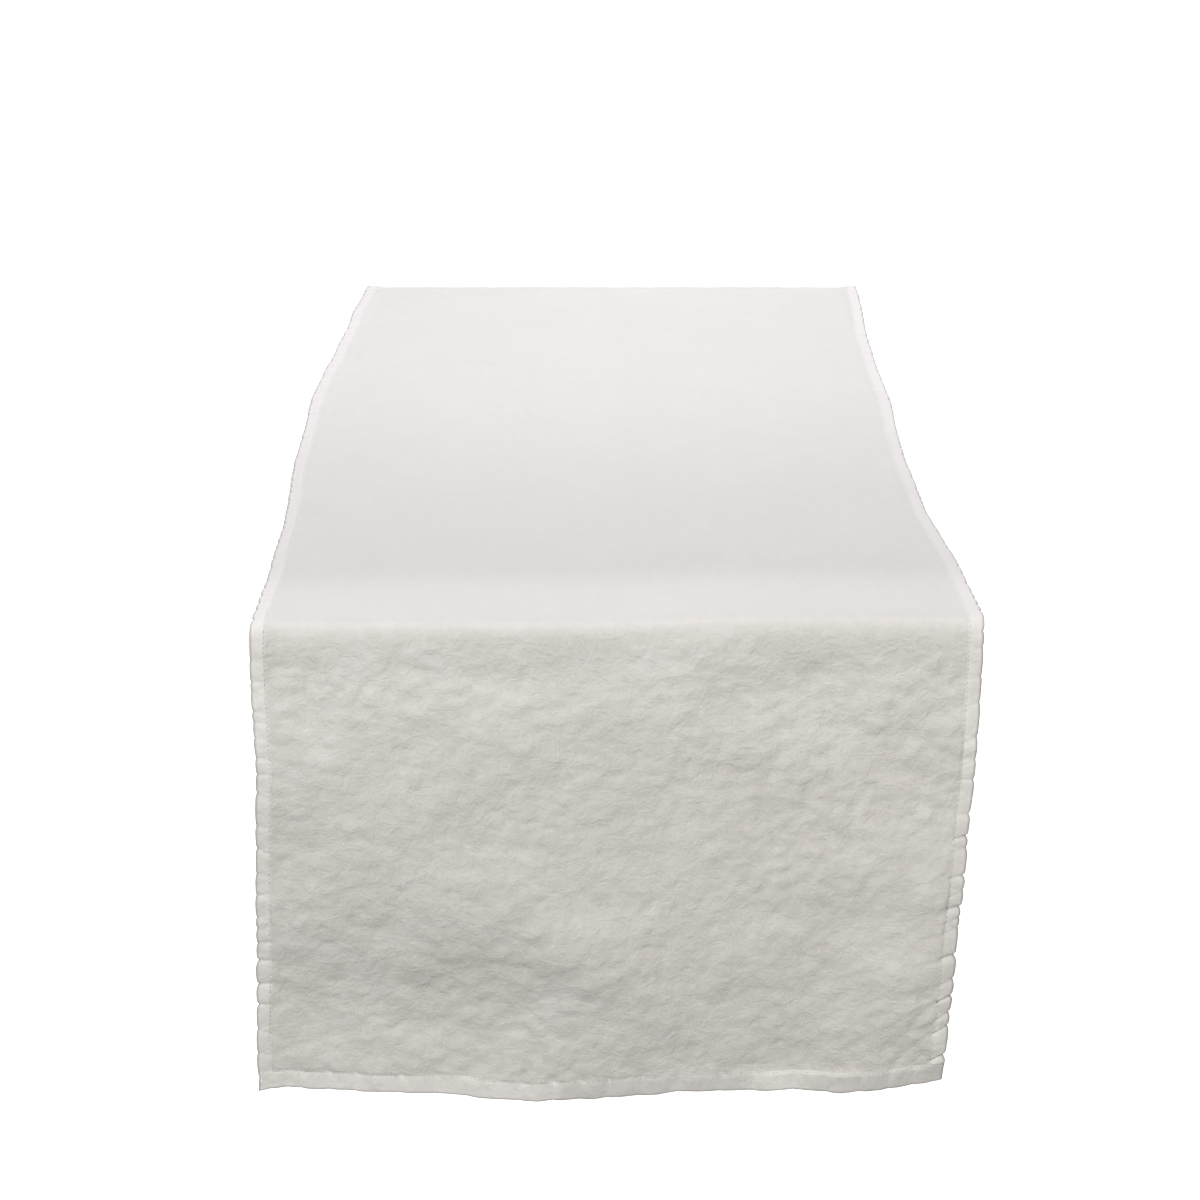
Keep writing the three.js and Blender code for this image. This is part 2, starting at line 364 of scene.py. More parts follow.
    def pucker(self, which, q, a, width):
        """Height of the gathers at place q along a seam, and a mm outwards from its stitch line, and how far the outer edge is drawn in."""
        rows = self.seams[which]
        place, depth = rows[:, 0], rows[:, 1]
        slant = rows[:, 2] if which else rows[:, 2] * -2.2
        s = np.clip(a / width, 0, 1)
        out = np.where(a >= 0, 0.60 + 0.40 * np.sin(math.pi * s ** 0.9) - 0.22 * s ** 4, np.exp(a / 5.5) * 0.60)
        out = out * (1 - 0.30 * np.exp(-(((a - 0.6) / 1.6) ** 2)))
        i = np.clip(np.searchsorted(place, q.ravel()).reshape(q.shape), 1, len(place) - 1)
        lo, hi = place[i - 1], place[i]
        x = np.clip((q - lo) / np.maximum(hi - lo, 1e-6), 0, 1)
        # each gather stands out quickly past one pinch and sinks slowly to the next
        swell = np.sin(math.pi * x ** 0.66) ** 0.9 * np.minimum(0.30 + (hi - lo) * 0.024, 0.85)
        swell = swell * (0.40 + 0.75 * np.minimum(depth[i - 1], depth[i]) / 0.9)
        h = swell * out
        pull = 0.55 * swell
        for k in (i - 2, i - 1, i, i + 1):
            ok = (k >= 0) & (k < len(place))
            k = np.clip(k, 0, len(place) - 1)
            near = (q - place[k] + slant[k] * (a - (width if which else 0.0))) / (rows[k, 3] * (1.0 if which else 1.7))
            near = np.where(near < 0, near / 0.95, near / 1.9)
            if which:
                inside = 1.0 + rows[k, 4] * (s - 0.5)
            else:
                inside = np.exp(-a / 5.5)
            reach = np.where(a >= 0, inside, np.exp(a / (4.0 + 4.0 * depth[k])))
            v = depth[k] * np.exp(-np.abs(near) ** 1.35) * reach * ok
            h = h - v * np.where(a >= 0, 1.0, 0.75)
            pull = pull - 0.85 * v
        return h, pull

    # -- everything together
    def place(self, u, t, skin):
        """Points of the cloth's face (skin 1) or back (skin 0), or its middle (0.5), at u, t."""
        u, t = np.broadcast_arrays(np.asarray(u, float), np.asarray(t, float))
        tf = t
        ang, y, z = self.profile(u, t)

        # distances in from the outer edges, and out from the stitch lines
        e_side = HALF_W - np.abs(u)
        e_end = LENGTH - t
        side = np.where(u < 0, -1, 1)
        a_side = HEM - e_side
        a_end = END_HEM - e_end
        pucker = np.zeros_like(u)
        pull_side = np.zeros_like(u)
        for s in (-1, 1):
            m = (side == s) & (a_side > -26)
            if m.any():
                h, p = self.pucker(s, t[m], a_side[m], HEM)
                fade = 1 - 0.75 * smooth(t[m], LENGTH - 16, LENGTH - 4)
                calm = 0.50 + 0.50 * smooth(t[m], TABLE - 40, TABLE + 60)
                bend = 1 - 0.6 * np.exp(-(((t[m] - TABLE) / 16.0) ** 2))
                pucker[m] += h * fade * calm * bend
                pull_side[m] = p * fade * (0.45 + 0.55 * calm) * smooth(a_side[m], 0, HEM)
        pull_end = np.zeros_like(u)
        m = a_end > -26
        if m.any():
            h, p = self.pucker(0, u[m], a_end[m], END_HEM)
            fade = 1 - 0.75 * smooth(np.abs(u[m]), HALF_W - 14, HALF_W - 3)
            pucker[m] += h * fade
            pull_end[m] = p * fade * smooth(a_end[m], 0, END_HEM)

        # layers: the ground cloth is one, the hems three, the mitred corners four
        up_side = smooth(a_side, -0.6, 2.2)
        up_end = smooth(a_end, -0.6, 2.4)
        raised = 1 - (1 - up_side) * (1 - up_end)
        corner = up_side * up_end
        thick = SHEET + (ROLL - SHEET) * raised + 0.45 * corner
        # the stitch line draws the layers together
        groove = np.exp(-(((a_side - 1.3) / 0.7) ** 2)) * (a_end < 1.3)
        groove = np.maximum(groove, np.exp(-(((a_end - 1.3) / 0.7) ** 2)) * (a_side < 1.3))
        # mitre: a diagonal seam in each corner
        mitre = np.exp(-(((a_side / HEM - a_end / END_HEM) * 7.0 / 0.62) ** 2)) * corner
        thick = thick - 0.42 * groove - 0.28 * mitre
        # the hems' outer folds are round
        r = ROLL * 0.80
        e = np.minimum(e_side, e_end)
        both = np.minimum(np.minimum(e_side, e_end), 3.0)
        near = np.hypot(np.clip(3.0 - e_side, 0, 3), np.clip(3.0 - e_end, 0, 3))
        e = np.where((e_side < 3.0) & (e_end < 3.0), 3.0 - near, e)
        e = np.clip(e, 0, None)
        round_off = np.where(e < r, np.sqrt(np.clip(1 - (1 - e / r) ** 2, 0, 1)), 1.0)

        hang = smooth(t - TABLE, 4.0, 40.0)
        # the hems are folded to the back: the face stays level on the drop, and
        # on the table it rises gently over the layers lying on the surface
        tent = 1 - (1 - smooth(a_side, -8.0, 2.4)) * (1 - smooth(a_end, -8.0, 2.4))
        level = SHEET + ((ROLL - SHEET) * tent + 0.45 * corner) * (1 - hang) - 0.10 * groove
        middle = level - thick / 2
        h = middle + (skin - 0.5) * thick * round_off
        relief = look(self.relief, u, tf)
        relief = relief * (1 - 0.55 * raised) * smooth(t, 0.0, 45.0)
        on_table = 1 - hang
        relief = relief + on_table * (0.10 - np.minimum(relief + 0.10, 0.0))
        pucker = np.where(hang < 1, pucker + on_table * 0.30 * np.clip(raised, 0, 1), pucker)
        pucker = pucker - on_table * np.minimum(pucker, 0.0) * (1 - 0.5 * skin) * 0.8
        sway = look(self.sway, u, tf)
        # the end hem is stiff and curls under along some of its length
        curl = np.interp(u, self.curl_u, self.curl_k) * np.clip(a_end, 0.0, None)
        h = h + relief + pucker + sway + curl + 0.05

        dy, dz = np.sin(ang), np.cos(ang)
        Y = y + dy * h
        Z = z + dz * h
        # along the cloth: how low the end hangs, and the drawn-in edges
        low = np.interp(u, self.hang_u, self.hang_d)
        low = low + 3.1 + 0.5 * np.sin(u / 13.0) + 0.35 * np.sin(u / 6.1 + 2.0)
        Z = Z - low * smooth(t - TABLE, 60.0, 325.0) ** 1.3 - pull_end * hang
        Z = Z - 2.5 * smooth(a_end, 0.0, END_HEM) + 0.38 * curl

        xl = np.interp(t, self.edge_t, self.edge[0])
        xr = np.interp(t, self.edge_t, self.edge[1])
        x = xl + (xr - xl) * (u + HALF_W) / (2 * HALF_W)
        waver = look(self.drift, u, tf) * smooth(np.abs(u), 150.0, 222.0) * smooth(t, 0.0, 45.0)
        x = x + waver + side * pull_side * 1.2
        # the corners of the end are drawn in a little
        x = x - side * 0.4 * smooth(t, LENGTH - 30, LENGTH) * smooth(np.abs(u), HALF_W - 30, HALF_W)
        return np.stack([x, self.side * Y, Z], -1) * MM

    def middle(self, u, t, lift, skin=1.0):
        """A point lift mm off the face (skin 1) or the back (skin 0)."""
        p = self.place(u, t, skin)
        q = self.place(u, t, 0.5)
        d = p - q
        n = np.linalg.norm(d, axis=-1, keepdims=True)
        return p + d / np.maximum(n, 1e-9) * (np.asarray(lift)[..., None] * MM)


# ------------------------------------------------------------------ meshes --
def new_object(name, verts, faces, uvs, sharp_edges=None):
    mesh = bpy.data.meshes.new(name)
    mesh.from_pydata(verts.tolist() if hasattr(verts, "tolist") else verts, [], faces)
    layer = mesh.uv_layers.new(name="cloth")
    loops = np.zeros(len(mesh.loops), np.int32)
    mesh.loops.foreach_get("vertex_index", loops)
    layer.data.foreach_set("uv", uvs[loops].astype(np.float32).ravel())
    mesh.polygons.foreach_set("use_smooth", np.ones(len(mesh.polygons), bool))
    if sharp_edges is not None and len(sharp_edges):
        ends = np.zeros(len(mesh.edges) * 2, np.int32)
        mesh.edges.foreach_get("vertices", ends)
        ends = np.sort(ends.reshape(-1, 2), axis=1)
        wanted = set(map(tuple, np.sort(np.array(sharp_edges), axis=1).tolist()))
        flags = np.array([tuple(e) in wanted for e in ends.tolist()], bool)
        mark = mesh.attributes.new("sharp_edge", "BOOLEAN", "EDGE")
        mark.data.foreach_set("value", flags)
    mesh.validate()
    mesh.update()
    o = bpy.data.objects.new(name, mesh)
    bpy.context.scene.collection.objects.link(o)
    return o


def shell(name, half, us, ts, step=1, closed=()):
    """A closed piece of the cloth over a window us by ts. The back has one row for each step rows of the face. closed names sides where face and back already meet: lo_u, hi_u, hi_t."""
    nu, nt = len(us), len(ts)
    U, T = np.meshgrid(us, ts, indexing="ij")
    face = half.place(U, T, 1.0)
    bu, bt = us[::step], ts[::step]
    BU, BT = np.meshgrid(bu, bt, indexing="ij")
    back = half.place(BU, BT, 0.0)
    fi = np.arange(nu * nt).reshape(nu, nt)
    mu, mt = len(bu), len(bt)
    bi = nu * nt + np.arange(mu * mt).reshape(mu, mt)
    uv = np.concatenate([
        np.stack([U.ravel(), T.ravel()], -1), np.stack([BU.ravel() + 700.0, BT.ravel()], -1)
    ]) * MM
    verts = np.concatenate([face.reshape(-1, 3), back.reshape(-1, 3)])
    out = half.side < 0
    quads = np.stack([fi[:-1, :-1], fi[1:, :-1], fi[1:, 1:], fi[:-1, 1:]], -1).reshape(-1, 4)
    backs = np.stack([bi[:-1, :-1], bi[:-1, 1:], bi[1:, 1:], bi[1:, :-1]], -1).reshape(-1, 4)
    if out:
        quads, backs = quads[:, ::-1], backs[:, ::-1]
    faces = quads.tolist() + backs.tolist()
    sharp = []
    rims = {
        "lo_u": (fi[0, :], bi[0, :], False), "hi_u": (fi[-1, :], bi[-1, :], True),
        "lo_t": (fi[:, 0], bi[:, 0], True), "hi_t": (fi[:, -1], bi[:, -1], False),
    }
    for key, (f, b, turn) in rims.items():
        if key in closed:
            continue
        for k in range(len(b) - 1):
            run = f[k * step : (k + 1) * step + 1].tolist()
            ring = run + [int(b[k + 1]), int(b[k])]
            if turn == out:
                ring = ring[::-1]
            faces.append(ring)
            sharp += [(run[m], run[m + 1]) for m in range(len(run) - 1)]
            sharp.append((int(b[k]), int(b[k + 1])))
    if closed:
        # weld the face to the back along the outer fold
        weld = {}
        for key in closed:
            f, b, _ = rims[key]
            for x, y in zip(b.tolist(), f[::step].tolist()):
                weld[x] = y
        faces = [[weld.get(i, i) for i in f] for f in faces]
        faces = [[x for n, x in enumerate(f) if x != f[n - 1]] for f in faces]
        faces = [f for f in faces if len(set(f)) > 2]
        used = np.zeros(len(verts), bool)
        used[[i for f in faces for i in f]] = True
        at = np.cumsum(used) - 1
        faces = [[int(at[i]) for i in f] for f in faces]
        sharp = [(int(at[weld.get(i, i)]), int(at[weld.get(j, j)])) for i, j in sharp]
        verts, uv = verts[used], uv[used]
    return new_object(name, verts, faces, uv, sharp)


def rows(*parts):
    """A run of coordinates from (start, stop, about how far apart) stretches."""
    out = []
    for a, b, d in parts:
        n = max(1, int(round((b - a) / d)))
        out.append(np.linspace(a, b, n, endpoint=False))
    out.append([parts[-1][1]])
    return np.concatenate(out)


def trimmed(v, step):
    """The same run, resampled so that its count fits step."""
    n = len(v) - 1
    n += (-n) % step
    return np.interp(np.linspace(0, len(v) - 1, n + 1), np.arange(len(v)), v)


def stitches(name, half, line, pitch, skin, seed):
    """Lockstitches along a list of (u, t) points."""
    rng = np.random.default_rng(seed)
    p = np.array(line, float)
    s = np.concatenate([[0], np.cumsum(np.hypot(*np.diff(p, axis=0).T))])
    n = int(s[-1] // pitch)
    start = (np.arange(n) + 0.12) * pitch + rng.uniform(-0.12, 0.12, n)
    long = pitch * 0.80 + rng.uniform(-0.1, 0.1, n)
    rings, sides = 6, 6
    f = np.linspace(0, 1, rings)
    at = start[:, None] + long[:, None] * f[None, :]
    wob = rng.uniform(-0.10, 0.10, (n, 1)) + (f[None, :] - 0.5) * rng.uniform(-0.16, 0.16, (n, 1))
    u = np.interp(at, s, p[:, 0])
    t = np.interp(at, s, p[:, 1])
    du, dt = np.interp(at + 0.1, s, p[:, 0]) - u, np.interp(at + 0.1, s, p[:, 1]) - t
    norm = np.maximum(np.hypot(du, dt), 1e-9)
    u2, t2 = u - dt / norm * wob, t + du / norm * wob
    dip = np.clip(np.sin(np.pi * np.clip(f, 0.0, 1.0)), 0, 1)[None, :] ** 0.6
    lift = -0.24 + 0.36 * dip + 0.0 * u
    c = half.middle(u2, t2, lift, skin)
    up = half.middle(u2, t2, lift + 0.5, skin) - c
    up /= np.maximum(np.linalg.norm(up, axis=-1, keepdims=True), 1e-9)
    along = np.gradient(c, axis=1)
    along /= np.maximum(np.linalg.norm(along, axis=-1, keepdims=True), 1e-9)
    across = np.cross(along, up)
    across /= np.maximum(np.linalg.norm(across, axis=-1, keepdims=True), 1e-9)
    up = np.cross(across, along)
    rad = 0.20 * MM * np.array([0.45, 0.86, 1.0, 1.0, 0.86, 0.45])[None, :, None, None]
    th = np.linspace(0, 2 * np.pi, sides, endpoint=False)
    ring = (
        c[:, :, None, :]
        + rad * (np.cos(th)[None, None, :, None] * across[:, :, None, :] * 1.15
                 + np.sin(th)[None, None, :, None] * up[:, :, None, :] * 0.85)
    )
    verts = ring.reshape(-1, 3)
    idx = np.arange(n * rings * sides).reshape(n, rings, sides)
    nxt = np.roll(idx, -1, axis=2)
    quads = np.stack([idx[:, :-1], nxt[:, :-1], nxt[:, 1:], idx[:, 1:]], -1).reshape(-1, 4)
    caps = np.concatenate([idx[:, 0, ::-1], idx[:, -1]]).tolist()
    uu = np.repeat(at[:, :, None], sides, 2) * MM
    vv = np.broadcast_to(th[None, None, :] * 0.2 * MM, uu.shape)
    return new_object(name, verts, quads.tolist() + caps, np.stack([uu.ravel(), vv.ravel()], -1))


# --------------------------------------------------------------- materials --
def node(tree, kind, **values):
    n = tree.nodes.new(kind)
    for k, v in values.items():
        if hasattr(n, k):
            setattr(n, k, v)
        else:
            n.inputs[k.replace("_", " ")].default_value = v
    return n


def linen(name, tone, mottle, weave_bump, crumple_bump, layers=0.0, sheen=0.25, painted_shade_stretches=()):
    """Washed linen: plain weave with uneven yarns, mottled colour, a soft sheen. tone is the mean colour and mottle the
    share by which patches differ. layers is how much lighter the cloth looks where it is folded over itself; where it
    is set, the colour is also darkened towards the outer fold, which is painted shade. The stretches given as (axis,
    from, to, share) take back part of that lightening: painted shade where the hem turns under, away from the light.
    """
    m = bpy.data.materials.new(name)
    m.use_nodes = True
    nt = m.node_tree
    nt.nodes.clear()
    L = nt.links.new
    out = node(nt, "ShaderNodeOutputMaterial")
    bsdf = node(nt, "ShaderNodeBsdfPrincipled")
    bsdf.inputs["Sheen Weight"].default_value = sheen
    bsdf.inputs["Sheen Roughness"].default_value = 0.55
    bsdf.inputs["Sheen Tint"].default_value = (1, 0.99, 0.97, 1)
    bsdf.inputs["Specular IOR Level"].default_value = 0.28
    L(bsdf.outputs[0], out.inputs[0])
    uv = node(nt, "ShaderNodeUVMap", uv_map="cloth")

    def scaled(x, y, rot=0.0):
        mp = node(nt, "ShaderNodeMapping")
        mp.inputs["Scale"].default_value = (x, y, 1.0)
        mp.inputs["Rotation"].default_value = (0, 0, rot)
        L(uv.outputs[0], mp.inputs[0])
        return mp.outputs[0]

    def noise(coord, scale, detail=2.0, rough=0.5, dist=0.0):
        n = node(nt, "ShaderNodeTexNoise", noise_dimensions="2D")
        n.inputs["Scale"].default_value = scale
        n.inputs["Detail"].default_value = detail
        n.inputs["Roughness"].default_value = rough
        n.inputs["Distortion"].default_value = dist
        L(coord, n.inputs["Vector"])
        return n.outputs[0]

    def math_(op, a, b=None, c=None):
        n = node(nt, "ShaderNodeMath", operation=op)
        for i, v in enumerate((a, b, c)):
            if v is None:
                continue
            if isinstance(v, (int, float)):
                n.inputs[i].default_value = v
            else:
                L(v, n.inputs[i])
        return n.outputs[0]

    # yarns: one pitch across, one along, both slightly wavy and uneven
    wander = noise(scaled(1, 1), 90.0, 2.0)
    sep = node(nt, "ShaderNodeSeparateXYZ")
    L(uv.outputs[0], sep.inputs[0])
    pitch = 2 * math.pi / 0.00062
    bend = math_("MULTIPLY", math_("SUBTRACT", wander, 0.5), 2.6)
    warp = math_("SINE", math_("ADD", math_("MULTIPLY", sep.outputs[0], pitch), bend))
    weft = math_("SINE", math_("ADD", math_("MULTIPLY", sep.outputs[1], pitch * 0.94), bend))
    weave = math_("MULTIPLY", warp, weft)
    # slubs: long thin thicker yarns in both directions
    slub_u = noise(scaled(22.0, 1150.0), 1.0, 2.0, 0.55)
    slub_t = noise(scaled(1050.0, 18.0), 1.0, 2.0, 0.55)
    slub_u = math_("POWER", slub_u, 2.2)
    slub_t = math_("POWER", slub_t, 2.2)
    slubs = math_("ADD", slub_u, slub_t)
    fuzz = noise(scaled(1, 1), 2600.0, 3.0, 0.7)

    # how far the cloth is crumpled: little on the table, fully on the hanging end
    loose = node(nt, "ShaderNodeMapRange", interpolation_type="SMOOTHSTEP", clamp=True)
    loose.inputs["From Min"].default_value = 0.412
    loose.inputs["From Max"].default_value = 0.438
    loose.inputs["To Min"].default_value = 0.22
    loose.inputs["To Max"].default_value = 1.0
    L(sep.outputs[1], loose.inputs["Value"])

    # colour: wide soft patches, smaller blotches with fairly even insides, the cloth's own uneven tone; scaled by how
    # crumpled the cloth is, they are faint on the table and full on the hanging end, and that rise is painted shade of
    # the crumple
    wide = noise(scaled(1, 1), 15.0, 3.0, 0.5, 0.3)
    blotch = noise(scaled(1.0, 1.1), 62.0, 4.0, 0.72, 0.8)
    even = node(nt, "ShaderNodeMapRange", interpolation_type="SMOOTHSTEP", clamp=True)
    even.inputs["From Min"].default_value = 0.36
    even.inputs["From Max"].default_value = 0.64
    L(blotch, even.inputs["Value"])
    small = noise(scaled(1.0, 1.2), 170.0, 3.0, 0.7, 0.6)
    mixed = math_("ADD", math_("MULTIPLY", math_("SUBTRACT", wide, 0.5), 1.0),
                  math_("MULTIPLY", math_("SUBTRACT", even.outputs[0], 0.5), 0.45))
    mixed = math_("ADD", mixed, math_("MULTIPLY", math_("SUBTRACT", small, 0.5), 1.0))
    mixed = math_("MULTIPLY", mixed, loose.outputs[0])
    ramp = node(nt, "ShaderNodeMapRange", clamp=True)
    ramp.inputs["From Min"].default_value = -0.42
    ramp.inputs["From Max"].default_value = 0.42
    L(mixed, ramp.inputs["Value"])
    mix = node(nt, "ShaderNodeMix", data_type="RGBA")
    dark = tuple(c * (1 - mottle * w) for c, w in zip(tone, (1.0, 1.04, 1.22)))
    light = tuple(min(0.98, c * (1 + mottle * w)) for c, w in zip(tone, (1.0, 1.0, 1.1)))
    mix.inputs[6].default_value = (*dark, 1)
    mix.inputs[7].default_value = (*light, 1)
    L(ramp.outputs[0], mix.inputs[0])
    yarn = math_("ADD", math_("MULTIPLY", math_("SUBTRACT", slubs, 0.48), 0.035), 1.0)
    yarn = math_("ADD", yarn, math_("MULTIPLY", weave, 0.006))
    yarn = math_("ADD", yarn, math_("MULTIPLY", math_("SUBTRACT", fuzz, 0.5), 0.02))
    if layers:
        # distance in from the stitch line and from the outer fold, on either face
        ax = math_("MINIMUM", math_("ABSOLUTE", sep.outputs[0]), math_("ABSOLUTE", math_("SUBTRACT", sep.outputs[0], 0.7)))
        inner = math_("MAXIMUM", math_("SUBTRACT", ax, 0.2139), math_("SUBTRACT", sep.outputs[1], 0.7361))
        inner = math_("ADD", inner, math_("MULTIPLY", math_("SUBTRACT", noise(scaled(1, 1), 190.0, 2.0), 0.5), 0.0036))
        seam = node(nt, "ShaderNodeMapRange", interpolation_type="SMOOTHSTEP", clamp=True)
        seam.inputs["From Min"].default_value = 0.0
        seam.inputs["From Max"].default_value = 0.0024
        L(inner, seam.inputs["Value"])
        # painted shade: within 2.3 mm of the outer fold the colour is darkened down to 0.58, standing in for the shade
        # of the rounded fold turning away from the light
        outer = math_("MINIMUM", math_("SUBTRACT", 0.225, ax), math_("SUBTRACT", 0.75, sep.outputs[1]))
        edge = node(nt, "ShaderNodeMapRange", interpolation_type="SMOOTHSTEP", clamp=True)
        edge.inputs["From Min"].default_value = 0.0
        edge.inputs["From Max"].default_value = 0.0023
        edge.inputs["To Min"].default_value = 0.58
        L(outer, edge.inputs["Value"])
        amount = math_("ADD", math_("MULTIPLY", loose.outputs[0], layers * 0.40), layers * 0.60)
        # painted shade: along each listed stretch part of the fold lightening is taken back, darker where the hem turns
        # under, away from the light
        for axis, first, last, share in painted_shade_stretches:
            ends = []
            for place in (first, last):
                way = node(nt, "ShaderNodeMapRange", interpolation_type="SMOOTHSTEP", clamp=True)
                way.inputs["From Min"].default_value = place - 0.02
                way.inputs["From Max"].default_value = place + 0.02
                L(sep.outputs[axis], way.inputs["Value"])
                ends.append(way.outputs[0])
            band = math_("MULTIPLY", math_("SUBTRACT", ends[0], ends[1]), share)
            amount = math_("MULTIPLY", amount, math_("SUBTRACT", 1.0, band))
        yarn = math_("MULTIPLY", yarn, math_("ADD", math_("MULTIPLY", seam.outputs[0], amount), 1.0))
        yarn = math_("MULTIPLY", yarn, edge.outputs[0])
    tint = node(nt, "ShaderNodeVectorMath", operation="SCALE")
    L(mix.outputs[2], tint.inputs[0])
    L(yarn, tint.inputs["Scale"])
    L(tint.outputs[0], bsdf.inputs["Base Color"])

    # roughness: a little smoother on the worn high yarns
    rr = node(nt, "ShaderNodeMapRange", clamp=True)
    rr.inputs["From Min"].default_value = 0.2
    rr.inputs["From Max"].default_value = 0.8
    rr.inputs["To Min"].default_value = 0.96
    rr.inputs["To Max"].default_value = 0.80
    L(math_("ADD", math_("MULTIPLY", blotch, 0.6), math_("MULTIPLY", fuzz, 0.4)), rr.inputs["Value"])
    L(rr.outputs[0], bsdf.inputs["Roughness"])

    # bump: weave and slubs, then the finest crumple
    height = math_("ADD", math_("MULTIPLY", weave, 0.5), math_("MULTIPLY", slubs, 1.6))
    height = math_("ADD", height, math_("MULTIPLY", fuzz, 0.7))
    b1 = node(nt, "ShaderNodeBump")
    b1.inputs["Strength"].default_value = 1.0
    b1.inputs["Distance"].default_value = weave_bump
    L(height, b1.inputs["Height"])
    # small dents
    dents = noise(scaled(1.0, 1.1), 95.0, 3.0, 0.68, 0.25)
    fine = math_("MULTIPLY", dents, loose.outputs[0])
    b2 = node(nt, "ShaderNodeBump")
    b2.inputs["Strength"].default_value = 1.0
    b2.inputs["Distance"].default_value = crumple_bump
    L(fine, b2.inputs["Height"])
    L(b1.outputs[0], b2.inputs["Normal"])
    L(b2.outputs[0], bsdf.inputs["Normal"])
    return m


def thread_material(name, tone):
    m = bpy.data.materials.new(name)
    m.use_nodes = True
    nt = m.node_tree
    nt.nodes.clear()
    L = nt.links.new
    out = node(nt, "ShaderNodeOutputMaterial")
    bsdf = node(nt, "ShaderNodeBsdfPrincipled")
    bsdf.inputs["Sheen Weight"].default_value = 0.2
    bsdf.inputs["Specular IOR Level"].default_value = 0.4
    L(bsdf.outputs[0], out.inputs[0])
    uv = node(nt, "ShaderNodeUVMap", uv_map="cloth")
    mp = node(nt, "ShaderNodeMapping")
    mp.inputs["Scale"].default_value = (1.0, 5.0, 1.0)
    mp.inputs["Rotation"].default_value = (0, 0, 0.6)
    L(uv.outputs[0], mp.inputs[0])
    ply = node(nt, "ShaderNodeTexWave", wave_type="BANDS")
    ply.inputs["Scale"].default_value = 900.0
    ply.inputs["Distortion"].default_value = 1.0
    L(mp.outputs[0], ply.inputs["Vector"])
    mix = node(nt, "ShaderNodeMix", data_type="RGBA")
    mix.inputs[6].default_value = (*[c * 0.93 for c in tone], 1)
    mix.inputs[7].default_value = (*tone, 1)
    L(ply.outputs[1], mix.inputs[0])
    L(mix.outputs[2], bsdf.inputs["Base Color"])
    rough = node(nt, "ShaderNodeMapRange")
    rough.inputs["To Min"].default_value = 0.62
    rough.inputs["To Max"].default_value = 0.78
    L(ply.outputs[1], rough.inputs["Value"])
    L(rough.outputs[0], bsdf.inputs["Roughness"])
    bump = node(nt, "ShaderNodeBump")
    bump.inputs["Distance"].default_value = 0.00006
    L(ply.outputs[1], bump.inputs["Height"])
    L(bump.outputs[0], bsdf.inputs["Normal"])
    return m


TONE = (0.800, 0.772, 0.738)
cloth_mat = linen("linen_ground", TONE, 0.050, 0.00004, 0.0013)
HEM_TONE = (0.799, 0.774, 0.746)
# painted light: the right hem's copy is a little lighter than the left (0.985 against 0.98), lifting the shade on its
# edge that turns away from the key light; the listed stretches of the right hem and of the end hem are painted shade,
# darker where the hem turns under
hem_mat = {
    tag: linen(f"linen_hem_folds_{tag}", tuple(c * k for c in HEM_TONE), 0.040, 0.00004, 0.0009, layers=0.180, painted_shade_stretches=painted_shade_stretches)
    for tag, k, painted_shade_stretches in (("left", 0.98, ()), ("right", 0.985, ((1, 0.555, 0.705, 0.75),)))
}
end_mat = linen("linen_end_folds", HEM_TONE, 0.046, 0.00004, 0.0010, layers=0.215,
                painted_shade_stretches=((0, -0.028, 0.098, 0.60), (0, 0.140, 0.30, 0.70)))
sewing_mat = thread_material("sewing_thread", (0.82, 0.795, 0.765))

